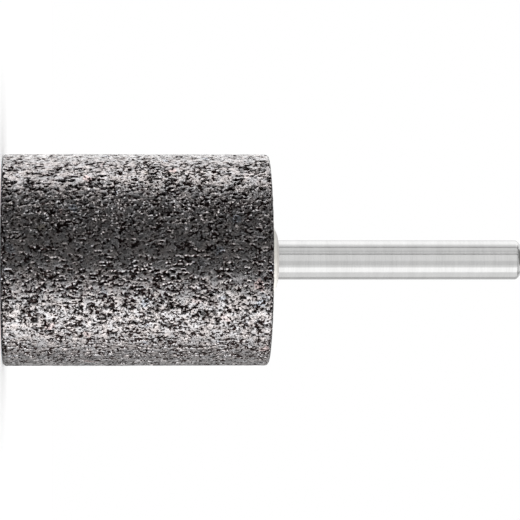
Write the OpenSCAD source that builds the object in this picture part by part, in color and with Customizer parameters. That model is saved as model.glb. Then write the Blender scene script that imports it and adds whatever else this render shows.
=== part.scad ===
// Mounted point: a cylindrical abrasive head cemented onto a ground steel shank.
// The part stands on the head's free end, with its axis on Z and the shank pointing up.

/* [Abrasive head] */
// Diameter of the head
head_d = 32; // [26:1:50]
// Length of the head along its axis
head_l = 40; // [34:1:60]
// Radius on both rims of the head
rim_r = 0.6; // [0.3:0.1:2]

/* [Shank] */
// Diameter of the ground shank that a collet grips
shank_d = 6; // [5:0.5:8]
// Length of shank that stands out of the head
shank_l = 38.5; // [25:0.5:75]
// Width of the chamfer round the tip
tip_chamfer = 0.8; // [0.5:0.1:1.2]
// Radius that eases the ground surface into the chamfer
tip_r = 0.6; // [0.2:0.1:1]

/* [Knurled root] */
// Length of the root below the head's face
root_l = 20; // [14:1:25]
// Step from the ground surface down to the crests of the knurl
root_step = 0.1; // [0.05:0.05:0.3]
// Height of the knurl's teeth
tooth_h = 0.25; // [0.15:0.05:0.4]
// Number of teeth round the knurl
tooth_count = 30; // [20:1:40]
// Number of knurled bands along the root
band_count = 2; // [1:1:3]
// Width of the turned groove at each end of a band
groove_w = 1.5; // [1:0.1:2]
// Depth of the grooves below the valleys of the knurl
groove_depth = 0.2; // [0.1:0.05:0.4]
// Chamfer round the end of the root
root_chamfer = 0.5; // [0.2:0.1:0.8]

/* [Cement joint] */
// Thickness of the cement round the crests of the knurl
cement_t = 1; // [0.5:0.1:1.8]
// Depth of the cement under the root
cement_floor = 1; // [0.5:0.1:3]
// Chamfer round the bottom of the bore
bore_chamfer = 1; // [0.5:0.1:2]
// Diameter of the bead on the head's face
bead_d = 12; // [11.5:0.5:18]
// Height of the bead where it meets the shank
bead_h = 1.45; // [1:0.05:2.5]
// Height of the bead's lip above the shoulder of the shank
lip_h = 0.1; // [0.05:0.05:0.3]

/* [Hidden] */
$fn = 96;

head_radius = head_d / 2;
shank_radius = shank_d / 2;
tip_z = head_l + shank_l;

// Knurl: crests lie just below the ground surface, and the grooves below the valleys
crest_radius = shank_radius - root_step;
valley_radius = crest_radius - tooth_h;
groove_radius = valley_radius - groove_depth;
root_z = head_l - root_l;
band_l = (root_l - (band_count + 1) * groove_w) / band_count;

// Shoulder: a 45 degree cone from the root to the ground surface, under the bead's lip
shoulder_z = head_l + bead_h - lip_h;
shoulder_h = shank_radius - groove_radius;

// Bore: a blind hole that leaves room for the cement round the root and under it
bore_radius = crest_radius + cement_t;
bore_z = root_z - cement_floor;

// Bead: a ball cut off by the head's face, bead_d wide there and bead_h high at the shank
bead_sink = (pow(bead_d / 2, 2) - pow(shank_radius, 2) - pow(bead_h, 2)) / (2 * bead_h);
bead_radius = norm([bead_d / 2, bead_sink]);

// Half section of the head before it is bored, with both rims rounded
module head_outline() {
    square([head_radius - rim_r, head_l]);
    translate([0, rim_r])
        square([head_radius, head_l - 2 * rim_r]);
    for (z = [rim_r, head_l - rim_r])
        translate([head_radius - rim_r, z])
            circle(rim_r);
}

// Half section of the bore, up to the given height
module bore_outline(top_z) {
    polygon([
        [0, bore_z],
        [bore_radius - bore_chamfer, bore_z],
        [bore_radius, bore_z + bore_chamfer],
        [bore_radius, top_z],
        [0, top_z]
    ]);
}

// Half section of the bead on the head's face
module bead_outline() {
    intersection() {
        translate([0, head_l - bead_sink])
            circle(bead_radius);
        translate([0, head_l])
            square([bead_d, bead_d]);
    }
}

// Half section of the turned shank: root core, shoulder, ground surface and eased tip
module shank_outline() {
    corner_z = tip_z - tip_chamfer;
    ease_z = corner_z - tip_r * tan(45 / 2);
    ease_x = shank_radius - tip_r;
    polygon([
        [0, root_z],
        [groove_radius - root_chamfer, root_z],
        [groove_radius, root_z + root_chamfer],
        [groove_radius, shoulder_z - shoulder_h],
        [shank_radius, shoulder_z],
        [shank_radius, ease_z],
        [ease_x, ease_z],
        [ease_x + tip_r * cos(45), ease_z + tip_r * sin(45)],
        [shank_radius - tip_chamfer, tip_z],
        [0, tip_z]
    ]);
    translate([ease_x, ease_z])
        circle(tip_r);
}

// Straight knurl of one band: teeth with flat flanks
module knurl_band() {
    step = 180 / tooth_count;
    linear_extrude(band_l)
        polygon([
            for (i = [0 : 2 * tooth_count - 1])
                (i % 2 == 0 ? crest_radius : valley_radius) * [cos(i * step), sin(i * step)]
        ]);
}

module shank_body() {
    rotate_extrude()
        shank_outline();
    for (i = [0 : band_count - 1])
        translate([0, 0, root_z + groove_w + i * (band_l + groove_w)])
            knurl_band();
}

// Abrasive head: grain and bond pressed into a cylinder with a blind bore
module abrasive_head() {
    color([0.2, 0.19, 0.19])
        rotate_extrude()
            difference() {
                head_outline();
                bore_outline(head_l + rim_r);
            }
}

// Bonding cement: fills the bore round the knurled root and domes up into the bead
module bonding_cement() {
    color([0.9, 0.88, 0.84])
        difference() {
            rotate_extrude() {
                bore_outline(head_l);
                bead_outline();
            }
            shank_body();
        }
}

// Shank: one turned, knurled and ground steel pin
module shank() {
    color([0.78, 0.78, 0.79])
        shank_body();
}

abrasive_head();
bonding_cement();
shank();
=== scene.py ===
import math

import bpy
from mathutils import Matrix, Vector


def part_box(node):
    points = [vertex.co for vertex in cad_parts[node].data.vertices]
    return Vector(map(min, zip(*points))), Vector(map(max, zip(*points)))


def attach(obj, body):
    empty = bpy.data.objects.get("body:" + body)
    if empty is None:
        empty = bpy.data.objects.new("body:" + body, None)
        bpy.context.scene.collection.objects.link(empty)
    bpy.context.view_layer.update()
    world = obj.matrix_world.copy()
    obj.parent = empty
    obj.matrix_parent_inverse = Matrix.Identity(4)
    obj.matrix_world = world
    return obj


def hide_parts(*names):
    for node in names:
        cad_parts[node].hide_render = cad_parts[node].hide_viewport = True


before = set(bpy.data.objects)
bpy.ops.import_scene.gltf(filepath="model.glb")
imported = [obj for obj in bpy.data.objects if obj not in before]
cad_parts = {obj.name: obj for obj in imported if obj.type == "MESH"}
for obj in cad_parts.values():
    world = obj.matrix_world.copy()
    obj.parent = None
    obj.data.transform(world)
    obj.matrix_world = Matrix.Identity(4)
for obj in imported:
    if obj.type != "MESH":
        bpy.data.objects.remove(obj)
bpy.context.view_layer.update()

MM = 0.001

# Sizes of the CAD pieces, in metres
_, HEAD_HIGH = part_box("abrasive_head")
CEMENT_LOW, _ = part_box("bonding_cement")
HEAD_RADIUS = HEAD_HIGH.x
HEAD_LENGTH = HEAD_HIGH.z
RIM_RADIUS = 0.0006
BORE_RADIUS = 0.0039
BORE_CHAMFER = 0.001
BORE_FLOOR = CEMENT_LOW.z

# Mesh of the head: cells of about a quarter of a millimetre
HEAD_SIDES = 408
SIDE_CUTS = 157
RIM_SEGMENTS = 4
END_SPAN = HEAD_SIDES // 4
QUAD_CORNERS = 4
HEAD_SHARP_ANGLE = 25
BORE_SIDES = 64
BORE_OVERREACH = 0.005

# Limits for picking edges by their place and for merging points, in metres
TOLERANCE = MM / 100
LONG_EDGE = 10 * MM
MERGE_DISTANCE = MM / 1000

# Detail of noises, the middle of a random colour, and the directions across the axis
SOFT = 1.0
CRISP = 3.0
MIDDLE = (0.5, 0.5, 0.5)
ACROSS = (1.0, 1.0, 0.0)

# Grains of the head: sizes, heights and bumps in millimetres
GRAIN_SIZE = 0.75
GRAIN_STEP = 0.03
GRAIN_WARP = 0.6
WARP_SIZE = 0.45
LEAN_HEIGHT = 0.03
LEAN_BUMP = 0.04
SWELL_SIZE = 3.0
SWELL_HEIGHT = 0.06
FINE_SIZE = 0.3
FINE_HEIGHT = 0.01
FINE_BUMP = 0.008

# How far noise and leaning grains may rise, so that nothing stands out of the CAD head
NOISE_PEAK = 0.7
LEAN_ROOM = 0.04

# Cracks round the grains, and seams across them that are darkened with painted shade, both in patches
# only
CRACK_WIDTH = 0.05
CRACK_BUMP = 0.015
SEAM_SIZE = 0.65
SEAM_WIDTH = 0.03
LINE_CORE = 1 / 3
PATCH_SIZE = 0.8
PATCH_START = 0.45
PATCH_FULL = 0.51

# Facets that glint and dark flecks, shifted away from the grains' own pattern
FACET_SHIFT = (37.0, 11.0, 5.0)
GLINT_SIZE = 0.25
GLINT_BUMP = 1.4
GLINT_SHARE = 0.24
FLECK_SIZE = 0.22
FLECK_START = 0.5
FLECK_FULL = 0.56

# Pores: sizes and depth in millimetres, and the levels of noise where they open, take their painted shade
# and end
PORE_SIZE = 0.34
PORE_DETAIL = 2.0
PORE_SHRINK = 0.76
PORE_DEPTH = 0.22
WIDE_SIZE = 1.3
WIDE_AMOUNT = 0.3
PORE_FLOOR = 0.34
PORE_EDGE = 0.435
PIT_SHADE_START = 0.471
PIT_SHADE_FULL = 0.449
RIM_LOW = 0.44
RIM_HIGH = 0.47
RIM_BUMP = 0.012

# No grain under the bead, nearer to the axis than this, in metres
BEAD_SHELTER = 0.0056
SHELTER_FADE = 0.0005

# Colours of the grains, the painted shade in the pits, and how much the seams' painted shade and the
# tones and flecks darken them
BODY_DARK = (0.0455, 0.0434, 0.0432, 1)
BODY_PALE = (0.0555, 0.0530, 0.0528, 1)
# The pores' near-black colour is painted shade: the hollows in the mesh are real, their blackness stands
# in for the shade inside them
PIT_SHADE_COLOUR = (0.0022, 0.0014, 0.0013, 1)
# How far the seams are darkened: painted shade of hairline cracks too fine for the mesh
SEAM_SHADE = 0.8
TONE_DARK = 0.05
FLECK_DARK = 0.3
SPECK_SIZE = 0.2
SPECK_ROUGH = 0.6
SPECK_START = 0.35
SPECK_FULL = 0.65
HUE_SIZE = 1.1
HUE_START = 0.36
HUE_FULL = 0.64
HUE_COOL = (0.975, 1.0, 1.02, 1)
HUE_WARM = (1.03, 1.0, 0.985, 1)
TINT_SIZE = 1.2
TINT_EDGE = 0.02
TINT_SHARES = (0.02, 0.02, 0.008)
TINTS = ((0.068, 0.055, 0.0537, 1), (0.0497, 0.0525, 0.0577, 1), (0.087, 0.078, 0.062, 1))

# Roughness of the grains, the pores' rims and the pits, and the sheen kept at low angles
GRAIN_SMOOTH = 0.26
GRAIN_ROUGH = 0.38
RIM_ROUGH = 0.28
PIT_ROUGH = 0.4
LOW_ANGLE_TINT = (0.5, 0.5, 0.5, 1)

# Cement: half section from the shank outwards, down the bore and back up the root, in millimetres
BEAD_RISE = ((3.0, 41.45), (3.12, 41.44), (3.3, 41.41), (3.55, 41.36), (3.85, 41.27), (4.15, 41.16))
BEAD_FALL = (
    (4.45, 41.03),
    (4.75, 40.89),
    (5.05, 40.73),
    (5.35, 40.55),
    (5.6, 40.38),
    (5.8, 40.2),
    (5.92, 40.0),
)
BEAD_SKIRT = ((5.85, 39.6), (4.6, 39.5), (3.9, 39.4))
CEMENT_FLOOR = ((3.9, 20.0), (2.9, 19.0), (0.05, 19.0), (0.05, 20.0))
ROOT_WALL = ((2.9, 20.0), (2.9, 41.25), (3.0, 41.35))
BEAD_SIDES = 160
BEAD_SHARP_ANGLE = 40

# Unevenness of the bead, in millimetres: waves round its rim and lumps on its face
WAVE_SIZE = 2.6
WAVE_AMOUNT = 0.44
WAVE_MIDDLE = 0.55
WAVE_START = 4.3
WAVE_FULL = 5.8
LUMP_SIZE = 1.1
LUMP_AMOUNT = 0.14
LUMP_START = 3.05
LUMP_FULL = 3.7
UNEVEN_DEPTH = 0.7

# Finish of the cement: pale clouds, and painted shade, a grey ring where the cement meets the shank
CLOUD_SIZE = 0.9
CLOUD_BUMP = 0.05
CLOUD_STRENGTH = 0.6
CLOUD_DARK = (0.80, 0.77, 0.71, 1)
CLOUD_PALE = (0.90, 0.88, 0.83, 1)
CEMENT_SMOOTH = 0.35
CEMENT_ROUGH = 0.5
# Painted shade near the shank: the radii in millimetres where it starts and is full, its share and its
# grey
SHANK_SHADE_START = 4.8
SHANK_SHADE_FULL = 4.0
SHANK_SHADE_SHARE = 0.6
SHANK_SHADE_GREY = (0.52, 0.50, 0.47, 1)

# Finish of the shank: grinding rings and wider bands, in millimetres
RING_SIZE = 2.0
RING_STRETCH = 40.0
RING_BREAKS = 0.6
RING_SHARE = 0.6
RING_BUMP = 0.002
BAND_SIZE = 1.2
BAND_STRETCH = 0.2
BAND_SHARE = 0.4
STEEL_START = 0.35
STEEL_FULL = 0.65
STEEL_DARK = (0.588, 0.587, 0.583, 1)
STEEL_PALE = (0.657, 0.656, 0.652, 1)
STEEL_SMOOTH = 0.1
STEEL_ROUGH = 0.16

# Where the clouds and rings go from smooth to rough
ROUGH_START = 0.3
ROUGH_FULL = 0.7

# Softboxes: name, bearing and half width in degrees, radiance
HEAD_LIGHTS = (
    ("front_base", -78, 72, 1.95),
    ("front_1", -28, 10, 6.3),
    ("front_2", -48, 9, 16.5),
    ("front_3", -69, 12, 21.5),
    ("front_4", -88, 8, 13.8),
    ("front_5", -103, 7, 6.1),
    ("front_6", -121, 11, 2.9),
    ("front_7", -143, 12, 4.9),
    ("back_core", 115, 27, 7.6),
    ("back_middle", 120, 31, 6.4),
    ("back_halo", 125, 38, 6.9),
)
BEAD_LIGHTS = (
    ("bead_side", -85, 15, 9.0),
)
REST_LIGHTS = (
    ("front_strip", -60, 16, 0.48),
    ("back_strip", 122, 20, 0.42),
)
LIGHT_DISTANCE = 0.5
LIGHT_HEIGHT = 0.76
LIGHT_LEVEL = 0.08

# Lamps overhead: their height, widths and radiances
TOP_LEVEL = 0.6
FLOOR_LIGHT_SIZE = 0.5
FLOOR_LIGHT = 1.53
RIM_LIGHT_SIZE = 0.9
RIM_LIGHT = 6.0

# Grey cards that only reflections show: bearing, half width in degrees, brightness
CARDS = (
    (80.5, 4, 0.4),
    (61, 18, 0.88),
    (50, 7, 0.75),
    (34.5, 3, 0.3),
    (-18, 13, 0.82),
    (-135, 17, 0.62),
)
CARD_DISTANCE = 0.6
CARD_STEP = 0.005
CARD_HEIGHT = 1.4
CARD_LEVEL = 0.1

# Dark disc overhead and the ring that hangs round it, open at the back, also only in reflections
CEILING_SIDES = 64
CEILING_LEVEL = 0.56
CEILING_RADIUS = 0.27
CEILING_SHIFT = -0.12
CEILING_GREY = 0.25
VALANCE_RADIUS = 0.45
VALANCE_BACK = VALANCE_RADIUS / 2
VALANCE_LOW = 0.36
VALANCE_GREY = 0.2

# Floor and surroundings
FLOOR_SIDES = 128
FLOOR_RADIUS = 0.5
FLOOR_COLOUR = (0.9, 0.9, 0.9, 1)
FLOOR_GLOW = 0.27
OUTER_GLOW = 0.42
GLOW_START = 0.1
GLOW_FULL = 0.45
WORLD_LIGHT = 0.6

# Camera: where it stands, what it looks at and its lens
CAMERA_DISTANCE = 0.43
CAMERA_HEIGHT = 0.0135
AIM_HEIGHT = 0.03875
CAMERA_LENS = 197.2
SENSOR_WIDTH = 36

BLACK = (0, 0, 0, 1)
WHITE = (1, 1, 1, 1)


def node(tree, kind, values=None, **settings):
    """Add a node, set its options, and set or link its inputs by name or number."""
    made = tree.nodes.new(kind)
    for name, value in settings.items():
        setattr(made, name, value)
    for name, value in (values or {}).items():
        if isinstance(value, bpy.types.NodeSocket):
            tree.links.new(value, made.inputs[name])
        else:
            made.inputs[name].default_value = value
    return made


def calc(tree, operation, a, b=0.0):
    """One step of arithmetic on numbers."""
    return node(tree, "ShaderNodeMath", {0: a, 1: b}, operation=operation).outputs[0]


def vector(tree, operation, a, b):
    """One step of arithmetic on vectors."""
    return node(tree, "ShaderNodeVectorMath", {0: a, 1: b}, operation=operation).outputs[0]


def scaled(tree, a, factor):
    """A vector times a number."""
    return node(tree, "ShaderNodeVectorMath", {0: a, "Scale": factor}, operation="SCALE").outputs[0]


def length(tree, a):
    """The length of a vector."""
    return node(tree, "ShaderNodeVectorMath", {0: a}, operation="LENGTH").outputs["Value"]


def split(tree, a):
    """The three numbers of a vector or colour."""
    return node(tree, "ShaderNodeSeparateXYZ", {0: a}).outputs


def ramp(tree, value, low, high, to_low=0.0, to_high=1.0):
    """A smooth step from one value to another."""
    values = {"Value": value, "From Min": low, "From Max": high, "To Min": to_low, "To Max": to_high}
    return node(tree, "ShaderNodeMapRange", values, interpolation_type="SMOOTHSTEP").outputs[0]


def mix(tree, factor, a, b):
    """Blend two colours."""
    return node(tree, "ShaderNodeMix", {0: factor, 6: a, 7: b}, data_type="RGBA").outputs[2]


def noise(tree, place, size, detail=2.0, roughness=0.5, output="Fac"):
    """Soft noise with lumps of about the given size."""
    values = {"Vector": place, "Scale": 1.0 / size, "Detail": detail, "Roughness": roughness}
    return node(tree, "ShaderNodeTexNoise", values).outputs[output]


def cells(tree, place, size, feature="F1"):
    """Random cells of about the given size."""
    values = {"Vector": place, "Scale": 1.0 / size}
    return node(tree, "ShaderNodeTexVoronoi", values, feature=feature).outputs


def cell_slope(tree, cell, place):
    """Height of a flat face in each cell, leaning its own way."""
    lean = vector(tree, "SUBTRACT", cell["Color"], MIDDLE)
    arm = vector(tree, "SUBTRACT", place, cell["Position"])
    return node(tree, "ShaderNodeVectorMath", {0: lean, 1: arm}, operation="DOT_PRODUCT").outputs["Value"]


def grain_pattern(tree, place):
    """Grain, pores and cracks of the abrasive at a place in metres: their sockets by name."""
    point = scaled(tree, place, 1.0 / MM)
    wander = vector(tree, "SUBTRACT", noise(tree, point, WARP_SIZE, output="Color"), MIDDLE)
    warped = vector(tree, "ADD", point, scaled(tree, wander, GRAIN_WARP))
    shifted = vector(tree, "ADD", point, FACET_SHIFT)
    drawn = vector(tree, "MULTIPLY", point, (1.0, 1.0, PORE_SHRINK))
    grain = cells(tree, warped, GRAIN_SIZE)
    step, tone, shine = split(tree, grain["Color"])
    border = cells(tree, warped, GRAIN_SIZE, "DISTANCE_TO_EDGE")["Distance"]
    border = calc(tree, "MULTIPLY", border, GRAIN_SIZE)
    crack = ramp(tree, border, CRACK_WIDTH, CRACK_WIDTH * LINE_CORE)
    # Thin seams, later darkened as painted shade of hairline cracks
    level = calc(tree, "SUBTRACT", noise(tree, drawn, SEAM_SIZE, SOFT), 0.5)
    seam = ramp(tree, calc(tree, "ABSOLUTE", level), SEAM_WIDTH, SEAM_WIDTH * LINE_CORE)
    patch = ramp(tree, noise(tree, shifted, PATCH_SIZE, SOFT), PATCH_START, PATCH_FULL)
    facet = cells(tree, shifted, GLINT_SIZE)
    chance = split(tree, facet["Color"])[0]
    picked = ramp(tree, chance, 1.0 - GLINT_SHARE, 1.0)
    wide = calc(tree, "SUBTRACT", noise(tree, drawn, WIDE_SIZE, SOFT), 0.5)
    wide = calc(tree, "MULTIPLY", wide, WIDE_AMOUNT)
    holes = calc(tree, "ADD", noise(tree, drawn, PORE_SIZE, PORE_DETAIL), wide)
    pits = calc(tree, "ADD", noise(tree, drawn, PORE_SIZE, SOFT), wide)
    return {
        "point": point,
        "warped": warped,
        "step": step,
        "tone": tone,
        "shine": shine,
        "tilt": cell_slope(tree, grain, point),
        "glint": calc(tree, "MULTIPLY", cell_slope(tree, facet, shifted), picked),
        "crack": calc(tree, "MULTIPLY", crack, patch),
        "seam": calc(tree, "MULTIPLY", seam, patch),
        "top": ramp(tree, pits, PORE_FLOOR, PORE_EDGE),
        # Where the pores are painted near-black as shade
        "dark": ramp(tree, holes, PIT_SHADE_START, PIT_SHADE_FULL),
        "rim": ramp(tree, holes, RIM_LOW, RIM_HIGH),
        "fine": noise(tree, shifted, FINE_SIZE),
        "fleck": ramp(tree, noise(tree, shifted, FLECK_SIZE, SOFT), FLECK_START, FLECK_FULL),
        "swell": noise(tree, point, SWELL_SIZE, SOFT),
    }


def stack(tree, pattern, layers):
    """Add up layers of the pattern, each times its amount."""
    total = 0.0
    for name, amount in layers:
        total = calc(tree, "ADD", total, calc(tree, "MULTIPLY", pattern[name], amount))
    return total


def relief(tree, pattern):
    """Height of the pressed mesh in millimetres, at most zero."""
    layers = (
        ("step", GRAIN_STEP),
        ("top", PORE_DEPTH),
        ("tilt", LEAN_HEIGHT),
        ("fine", FINE_HEIGHT),
        ("swell", SWELL_HEIGHT),
    )
    peak = PORE_DEPTH + GRAIN_STEP + NOISE_PEAK * (FINE_HEIGHT + SWELL_HEIGHT) + LEAN_ROOM
    height = calc(tree, "SUBTRACT", stack(tree, pattern, layers), peak)
    return calc(tree, "MINIMUM", height, 0.0)


def small_relief(tree, pattern):
    """Height of what is too small for the mesh, in millimetres."""
    layers = (
        ("rim", RIM_BUMP),
        ("tilt", LEAN_BUMP),
        ("fine", FINE_BUMP),
        ("crack", -CRACK_BUMP),
        ("glint", GLINT_BUMP),
    )
    return stack(tree, pattern, layers)


def new_modifier_tree(name):
    """Geometry nodes to move a mesh: the tree, the mesh, and each point's place and normal."""
    tree = bpy.data.node_groups.new(name, "GeometryNodeTree")
    tree.interface.new_socket("Geometry", in_out="INPUT", socket_type="NodeSocketGeometry")
    tree.interface.new_socket("Geometry", in_out="OUTPUT", socket_type="NodeSocketGeometry")
    mesh = tree.nodes.new("NodeGroupInput").outputs[0]
    place = tree.nodes.new("GeometryNodeInputPosition").outputs[0]
    normal = tree.nodes.new("GeometryNodeInputNormal").outputs[0]
    return tree, mesh, place, normal


def move_points(tree, mesh, offset):
    """End geometry nodes by moving each point of the mesh."""
    moved = node(tree, "GeometryNodeSetPosition", {"Geometry": mesh, "Offset": offset})
    end = tree.nodes.new("NodeGroupOutput")
    tree.links.new(moved.outputs[0], end.inputs[0])


def grain_modifier():
    """Geometry nodes that press the grain into a mesh and remember where each point was."""
    tree, mesh, place, normal = new_modifier_tree("grain_relief")
    kept = node(
        tree,
        "GeometryNodeStoreNamedAttribute",
        {"Geometry": mesh, "Name": "rest_place", "Value": place},
        data_type="FLOAT_VECTOR",
        domain="POINT",
    )
    reach = length(tree, vector(tree, "MULTIPLY", place, ACROSS))
    open_air = ramp(tree, reach, BEAD_SHELTER - SHELTER_FADE, BEAD_SHELTER)
    height = calc(tree, "MULTIPLY", relief(tree, grain_pattern(tree, place)), open_air)
    move_points(tree, kept.outputs[0], scaled(tree, scaled(tree, normal, MM), height))
    return tree


def bead_modifier():
    """Geometry nodes that make the bead a little uneven, away from the shank and the bore."""
    tree, mesh, place, normal = new_modifier_tree("bead_unevenness")
    flat = vector(tree, "MULTIPLY", place, ACROSS)
    reach = length(tree, flat)
    outward = node(tree, "ShaderNodeVectorMath", {0: flat}, operation="NORMALIZE").outputs[0]
    wave = calc(tree, "SUBTRACT", noise(tree, flat, WAVE_SIZE * MM, SOFT), WAVE_MIDDLE)
    lump = calc(tree, "SUBTRACT", noise(tree, place, LUMP_SIZE * MM), 0.5)
    rim = ramp(tree, reach, WAVE_START * MM, WAVE_FULL * MM, 0.0, WAVE_AMOUNT * MM)
    face = ramp(tree, reach, LUMP_START * MM, LUMP_FULL * MM, 0.0, LUMP_AMOUNT * MM)
    sideways = scaled(tree, outward, calc(tree, "MULTIPLY", wave, rim))
    swelling = scaled(tree, normal, calc(tree, "MULTIPLY", lump, face))
    above = calc(tree, "GREATER_THAN", split(tree, place)[2], HEAD_LENGTH - UNEVEN_DEPTH * MM)
    move_points(tree, mesh, scaled(tree, vector(tree, "ADD", sideways, swelling), above))
    return tree


def select_where(obj, kind, test):
    """In edit mode, select only the edges or faces whose corners pass the test."""
    bpy.ops.mesh.select_all(action="DESELECT")
    bpy.ops.object.mode_set(mode="OBJECT")
    mesh = obj.data
    parts = mesh.edges if kind == "EDGE" else mesh.polygons
    for part in parts:
        corners = [mesh.vertices[i].co for i in part.vertices]
        part.select = test(corners)
    bpy.ops.object.mode_set(mode="EDIT")
    bpy.ops.mesh.select_mode(type=kind)


def apply_all(obj):
    """Apply an object's modifiers in order."""
    for name in [m.name for m in obj.modifiers]:
        bpy.ops.object.modifier_apply(modifier=name)


def paint(obj, material):
    """Give an object one material."""
    obj.data.materials.clear()
    obj.data.materials.append(material)


def make_bore_cutter():
    """The blind bore as a solid that reaches past the head's face."""
    depth = HEAD_LENGTH - BORE_FLOOR + BORE_OVERREACH
    bpy.ops.object.select_all(action="DESELECT")
    bpy.ops.mesh.primitive_cylinder_add(
        vertices=BORE_SIDES, radius=BORE_RADIUS, depth=depth, location=(0, 0, BORE_FLOOR + depth / 2)
    )
    bpy.ops.object.transform_apply(location=True)
    cutter = bpy.context.object
    bpy.ops.object.mode_set(mode="EDIT")
    select_where(cutter, "EDGE", lambda ends: all(p.z < BORE_FLOOR + TOLERANCE for p in ends))
    bpy.ops.mesh.bevel(offset=BORE_CHAMFER, segments=1, affect="EDGES")
    bpy.ops.object.mode_set(mode="OBJECT")
    return cutter


def make_head():
    """Abrasive head: a cylinder with round rims and a blind bore, pitted all over."""
    cutter = make_bore_cutter()
    bpy.ops.object.select_all(action="DESELECT")
    bpy.ops.mesh.primitive_cylinder_add(
        vertices=HEAD_SIDES, radius=HEAD_RADIUS, depth=HEAD_LENGTH, location=(0, 0, HEAD_LENGTH / 2)
    )
    bpy.ops.object.transform_apply(location=True)
    head = bpy.context.object
    head.name = "pitted_head"
    bpy.ops.object.mode_set(mode="EDIT")
    select_where(head, "EDGE", lambda ends: abs(ends[0].z - ends[1].z) < TOLERANCE)
    bpy.ops.mesh.bevel(offset=RIM_RADIUS, segments=RIM_SEGMENTS, affect="EDGES")
    select_where(head, "EDGE", lambda ends: abs(ends[0].z - ends[1].z) > LONG_EDGE)
    bpy.ops.mesh.subdivide(number_cuts=SIDE_CUTS)
    select_where(head, "FACE", lambda ring: len(ring) > QUAD_CORNERS)
    bpy.ops.mesh.delete(type="ONLY_FACE")
    for level in (0.0, HEAD_LENGTH):
        select_where(head, "EDGE", lambda ends: all(abs(p.z - level) < TOLERANCE for p in ends))
        bpy.ops.mesh.fill_grid(span=END_SPAN)
    bpy.ops.mesh.select_all(action="SELECT")
    bpy.ops.mesh.normals_make_consistent(inside=False)
    bpy.ops.object.mode_set(mode="OBJECT")
    bore = head.modifiers.new("bore", "BOOLEAN")
    bore.object = cutter
    bore.operation = "DIFFERENCE"
    head.modifiers.new("grain", "NODES").node_group = grain_modifier()
    apply_all(head)
    bpy.data.objects.remove(cutter)
    bpy.ops.object.shade_smooth_by_angle(angle=math.radians(HEAD_SHARP_ANGLE))
    paint(head, abrasive_material())
    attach(head, "root")
    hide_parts("abrasive_head")
    return head


def make_bead():
    """Bonding cement: rings drawn out along the half section, from the bead down into the bore."""
    section = BEAD_RISE + BEAD_FALL + BEAD_SKIRT + CEMENT_FLOOR + ROOT_WALL
    outline = [(r * MM, z * MM) for r, z in section]
    radius, level = outline[0]
    bpy.ops.object.select_all(action="DESELECT")
    bpy.ops.mesh.primitive_circle_add(vertices=BEAD_SIDES, radius=radius, location=(0, 0, level))
    bpy.ops.object.transform_apply(location=True)
    bead = bpy.context.object
    bead.name = "cement_bead"
    bpy.ops.object.mode_set(mode="EDIT")
    bpy.ops.mesh.select_mode(type="EDGE")
    bpy.ops.mesh.select_all(action="SELECT")
    for next_radius, next_level in outline[1:] + outline[:1]:
        bpy.ops.mesh.extrude_edges_move()
        growth = next_radius / radius
        bpy.ops.transform.resize(value=(growth, growth, 1), center_override=(0, 0, 0))
        bpy.ops.transform.translate(value=(0, 0, next_level - level))
        radius, level = next_radius, next_level
    bpy.ops.mesh.select_all(action="SELECT")
    bpy.ops.mesh.remove_doubles(threshold=MERGE_DISTANCE)
    bpy.ops.mesh.normals_make_consistent(inside=False)
    bpy.ops.object.mode_set(mode="OBJECT")
    bead.modifiers.new("unevenness", "NODES").node_group = bead_modifier()
    apply_all(bead)
    bpy.ops.object.shade_smooth_by_angle(angle=math.radians(BEAD_SHARP_ANGLE))
    paint(bead, cement_material())
    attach(bead, "root")
    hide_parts("bonding_cement")
    return bead


def new_material(name):
    """A new node material, its tree and its shader."""
    material = bpy.data.materials.new(name)
    material.use_nodes = True
    return material, material.node_tree, material.node_tree.nodes["Principled BSDF"]


def abrasive_material():
    """Dark grain with an even sheen, and pores blackened with painted shade."""
    material, tree, shader = new_material("dark_abrasive")
    place = node(tree, "ShaderNodeAttribute", attribute_name="rest_place").outputs["Vector"]
    pattern = grain_pattern(tree, place)
    clear = calc(tree, "SUBTRACT", 1.0, pattern["dark"])
    for name, amount in (("seam", SEAM_SHADE), ("tone", TONE_DARK), ("fleck", FLECK_DARK)):
        share = calc(tree, "SUBTRACT", 1.0, calc(tree, "MULTIPLY", pattern[name], amount))
        clear = calc(tree, "MULTIPLY", clear, share)
    dark = calc(tree, "SUBTRACT", 1.0, clear)
    speck = noise(tree, pattern["point"], SPECK_SIZE, roughness=SPECK_ROUGH)
    body = mix(tree, ramp(tree, speck, SPECK_START, SPECK_FULL), BODY_DARK, BODY_PALE)
    warmth = ramp(tree, noise(tree, pattern["warped"], HUE_SIZE, SOFT), HUE_START, HUE_FULL)
    body = vector(tree, "MULTIPLY", body, mix(tree, warmth, HUE_COOL, HUE_WARM))
    lots = split(tree, cells(tree, pattern["warped"], TINT_SIZE)["Color"])
    for chance, share, tint in zip(lots, TINT_SHARES, TINTS):
        body = mix(tree, ramp(tree, chance, 1.0 - share, 1.0 - share + TINT_EDGE), body, tint)
    # Pores and seams go towards the near-black painted shade; tones and flecks are the grain's own colour
    tree.links.new(mix(tree, dark, body, PIT_SHADE_COLOUR), shader.inputs["Base Color"])
    plain = ramp(tree, pattern["shine"], 0.0, 1.0, GRAIN_SMOOTH - RIM_ROUGH, GRAIN_ROUGH - RIM_ROUGH)
    rough = calc(tree, "ADD", calc(tree, "MULTIPLY", plain, pattern["rim"]), RIM_ROUGH)
    dull = calc(tree, "MULTIPLY", calc(tree, "SUBTRACT", PIT_ROUGH, rough), pattern["dark"])
    tree.links.new(calc(tree, "ADD", rough, dull), shader.inputs["Roughness"])
    shader.inputs["Metallic"].default_value = 1.0
    shader.inputs["Specular Tint"].default_value = LOW_ANGLE_TINT
    height = small_relief(tree, pattern)
    bump = node(tree, "ShaderNodeBump", {"Height": height, "Distance": MM, "Strength": 1.0})
    tree.links.new(bump.outputs[0], shader.inputs["Normal"])
    return material


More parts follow.
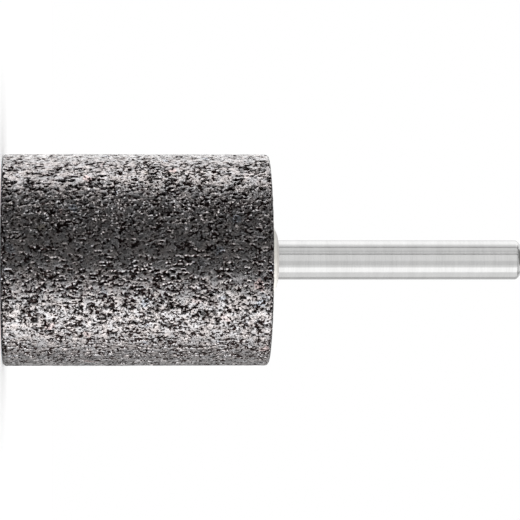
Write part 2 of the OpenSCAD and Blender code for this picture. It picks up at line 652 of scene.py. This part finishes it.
def cement_material():
    """Off-white set cement, a little uneven, with painted shade in a greyer ring where it meets the
    shank.
    """
    material, tree, shader = new_material("pale_cement")
    place = node(tree, "ShaderNodeTexCoord").outputs["Object"]
    cloud = noise(tree, place, CLOUD_SIZE * MM, CRISP)
    colour = mix(tree, cloud, CLOUD_DARK, CLOUD_PALE)
    reach = length(tree, vector(tree, "MULTIPLY", place, ACROSS))
    # Painted shade: a grey ring round the shank, standing in for the shade that falls there
    shank_shade = ramp(tree, reach, SHANK_SHADE_START * MM, SHANK_SHADE_FULL * MM, 0.0, SHANK_SHADE_SHARE)
    tree.links.new(mix(tree, shank_shade, colour, SHANK_SHADE_GREY), shader.inputs["Base Color"])
    rough = ramp(tree, cloud, ROUGH_START, ROUGH_FULL, CEMENT_SMOOTH, CEMENT_ROUGH)
    tree.links.new(rough, shader.inputs["Roughness"])
    lumps = {"Height": cloud, "Distance": CLOUD_BUMP * MM, "Strength": CLOUD_STRENGTH}
    tree.links.new(node(tree, "ShaderNodeBump", lumps).outputs[0], shader.inputs["Normal"])
    return material


def steel_material():
    """Ground steel: fine rings round the shank, broken up along them."""
    material, tree, shader = new_material("ground_steel")
    place = node(tree, "ShaderNodeTexCoord").outputs["Object"]
    rings = vector(tree, "MULTIPLY", place, (1.0, 1.0, RING_STRETCH))
    scratch = noise(tree, rings, RING_SIZE * MM, CRISP, RING_BREAKS)
    bands = vector(tree, "MULTIPLY", place, (BAND_STRETCH, BAND_STRETCH, 1.0))
    band = calc(tree, "MULTIPLY", noise(tree, bands, BAND_SIZE * MM), BAND_SHARE)
    shade = calc(tree, "ADD", calc(tree, "MULTIPLY", scratch, RING_SHARE), band)
    colour = mix(tree, ramp(tree, shade, STEEL_START, STEEL_FULL), STEEL_DARK, STEEL_PALE)
    tree.links.new(colour, shader.inputs["Base Color"])
    shader.inputs["Metallic"].default_value = 1.0
    rough = ramp(tree, shade, ROUGH_START, ROUGH_FULL, STEEL_SMOOTH, STEEL_ROUGH)
    tree.links.new(rough, shader.inputs["Roughness"])
    marks = {"Height": scratch, "Distance": RING_BUMP * MM, "Strength": 1.0}
    tree.links.new(node(tree, "ShaderNodeBump", marks).outputs[0], shader.inputs["Normal"])
    return material


def make_camera():
    """The camera looks across the axis, rolled so that the shank points right."""
    rise = math.atan2(AIM_HEIGHT - CAMERA_HEIGHT, CAMERA_DISTANCE)
    bpy.ops.object.camera_add(
        location=(0, -CAMERA_DISTANCE, CAMERA_HEIGHT), rotation=(math.pi / 2 + rise, 0, 0)
    )
    camera = bpy.context.object
    camera.rotation_euler.rotate_axis("Z", math.pi / 2)
    camera.data.lens = CAMERA_LENS
    camera.data.sensor_width = SENSOR_WIDTH
    bpy.context.scene.camera = camera


def add_lamp(name, spot, pieces):
    """An area lamp that the camera doesn't see, for some of the pieces."""
    bpy.ops.object.light_add(type="AREA", location=spot)
    lamp = bpy.context.object
    lamp.name = name
    lamp.visible_camera = False
    lit = bpy.data.collections.new(name + "_lights")
    for piece in pieces:
        lit.objects.link(piece)
    lamp.light_linking.receiver_collection = lit
    return lamp


def add_softbox(name, bearing, half_width, radiance, pieces):
    """An upright strip of light at a bearing from the camera's side, positive to the left."""
    turn = math.radians(bearing)
    width = 2 * LIGHT_DISTANCE * math.tan(math.radians(half_width))
    spot = Vector((-math.sin(turn) * LIGHT_DISTANCE, -math.cos(turn) * LIGHT_DISTANCE, LIGHT_LEVEL))
    aim = Vector((0, 0, LIGHT_LEVEL)) - spot
    lamp = add_lamp(name, spot, pieces)
    lamp.rotation_euler = aim.to_track_quat("-Z", "Y").to_euler()
    lamp.data.shape = "RECTANGLE"
    lamp.data.size = width
    lamp.data.size_y = LIGHT_HEIGHT
    lamp.data.energy = radiance * width * LIGHT_HEIGHT * math.pi
    return lamp


def add_top_light(name, size, radiance, pieces):
    """A soft square lamp overhead."""
    lamp = add_lamp(name, (0, 0, TOP_LEVEL), pieces)
    lamp.data.size = size
    lamp.data.energy = radiance * size ** 2 * math.pi
    return lamp


def only_reflected(obj):
    """Hide an object from everything but reflections."""
    obj.visible_camera = False
    obj.visible_diffuse = False
    obj.visible_transmission = False
    obj.visible_volume_scatter = False
    obj.visible_shadow = False


def glowing(name, grey):
    """A material that gives off an even grey."""
    material, _, shader = new_material(name)
    shader.inputs["Base Color"].default_value = BLACK
    shader.inputs["Specular IOR Level"].default_value = 0.0
    shader.inputs["Emission Color"].default_value = (grey, grey, grey, 1)
    shader.inputs["Emission Strength"].default_value = 1.0
    return material


def add_card(number, bearing, half_width, grey):
    """An upright grey card beside the object, for the lines in the shank's reflections."""
    turn = math.radians(bearing)
    distance = CARD_DISTANCE - CARD_STEP * number
    width = 2 * distance * math.tan(math.radians(half_width))
    bpy.ops.object.select_all(action="DESELECT")
    bpy.ops.mesh.primitive_plane_add(size=1)
    card = bpy.context.object
    card.name = f"card_{number}"
    card.scale = (width, CARD_HEIGHT, 1)
    card.rotation_euler = (math.pi / 2, 0, -turn)
    card.location = (-math.sin(turn) * distance, -math.cos(turn) * distance, CARD_LEVEL)
    paint(card, glowing(f"card_grey_{number}", grey))
    only_reflected(card)


def add_ceiling():
    """A dark disc overhead, which the tip's eased edge and chamfer reflect."""
    bpy.ops.object.select_all(action="DESELECT")
    bpy.ops.mesh.primitive_circle_add(
        vertices=CEILING_SIDES,
        radius=CEILING_RADIUS,
        fill_type="NGON",
        location=(CEILING_SHIFT, 0, CEILING_LEVEL),
    )
    ceiling = bpy.context.object
    ceiling.name = "dark_ceiling"
    paint(ceiling, glowing("ceiling_grey", CEILING_GREY))
    only_reflected(ceiling)


def add_valance():
    """A dark ring below the disc, open at the back."""
    depth = CEILING_LEVEL - VALANCE_LOW
    bpy.ops.object.select_all(action="DESELECT")
    bpy.ops.mesh.primitive_cylinder_add(
        vertices=CEILING_SIDES,
        radius=VALANCE_RADIUS,
        depth=depth,
        end_fill_type="NOTHING",
        location=(0, 0, VALANCE_LOW + depth / 2),
    )
    valance = bpy.context.object
    valance.name = "dark_valance"
    bpy.ops.object.mode_set(mode="EDIT")
    select_where(valance, "FACE", lambda ring: sum(p.y for p in ring) / len(ring) > VALANCE_BACK)
    bpy.ops.mesh.delete(type="FACE")
    bpy.ops.object.mode_set(mode="OBJECT")
    paint(valance, glowing("valance_grey", VALANCE_GREY))
    only_reflected(valance)


def seen_ray(tree):
    """1 for rays that show the background: camera, glossy and transmission rays."""
    path = tree.nodes.new("ShaderNodeLightPath")
    seen = calc(tree, "MAXIMUM", path.outputs["Is Camera Ray"], path.outputs["Is Glossy Ray"])
    return calc(tree, "MAXIMUM", seen, path.outputs["Is Transmission Ray"])


def make_world():
    """White surroundings, dimmer as a source of light."""
    world = bpy.data.worlds.new("white_room")
    world.use_nodes = True
    tree = world.node_tree
    back = tree.nodes["Background"]
    back.inputs["Color"].default_value = WHITE
    tree.links.new(ramp(tree, seen_ray(tree), 0.0, 1.0, WORLD_LIGHT, 1.0), back.inputs["Strength"])
    bpy.context.scene.world = world


def make_floor():
    """A pale floor that is white where no shadow falls."""
    bpy.ops.mesh.primitive_circle_add(
        vertices=FLOOR_SIDES, radius=FLOOR_RADIUS, fill_type="NGON", location=(0, 0, 0)
    )
    floor = bpy.context.object
    floor.name = "floor"
    material, tree, shader = new_material("white_floor")
    shader.inputs["Base Color"].default_value = FLOOR_COLOUR
    shader.inputs["Roughness"].default_value = 1.0
    shader.inputs["Specular IOR Level"].default_value = 0.0
    shader.inputs["Emission Color"].default_value = WHITE
    reach = length(tree, node(tree, "ShaderNodeTexCoord").outputs["Object"])
    glow = ramp(tree, reach, GLOW_START, GLOW_FULL, FLOOR_GLOW, OUTER_GLOW)
    tree.links.new(calc(tree, "MULTIPLY", seen_ray(tree), glow), shader.inputs["Emission Strength"])
    paint(floor, material)
    floor.visible_glossy = False
    floor.visible_shadow = False
    return floor


make_camera()
make_world()
floor = make_floor()
head = make_head()
cement = make_bead()
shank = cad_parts["shank"]
paint(shank, steel_material())
for softbox in HEAD_LIGHTS:
    add_softbox(*softbox, [head]).visible_diffuse = False
for softbox in BEAD_LIGHTS:
    add_softbox(*softbox, [cement])
for softbox in REST_LIGHTS:
    add_softbox(*softbox, [head, shank, cement, floor])
for number, card in enumerate(CARDS):
    add_card(number, *card)
add_ceiling()
add_valance()
add_top_light("floor_light", FLOOR_LIGHT_SIZE, FLOOR_LIGHT, [floor]).visible_glossy = False
add_top_light("rim_light", RIM_LIGHT_SIZE, RIM_LIGHT, [head]).visible_diffuse = False

bpy.context.scene.view_settings.view_transform = "Standard"
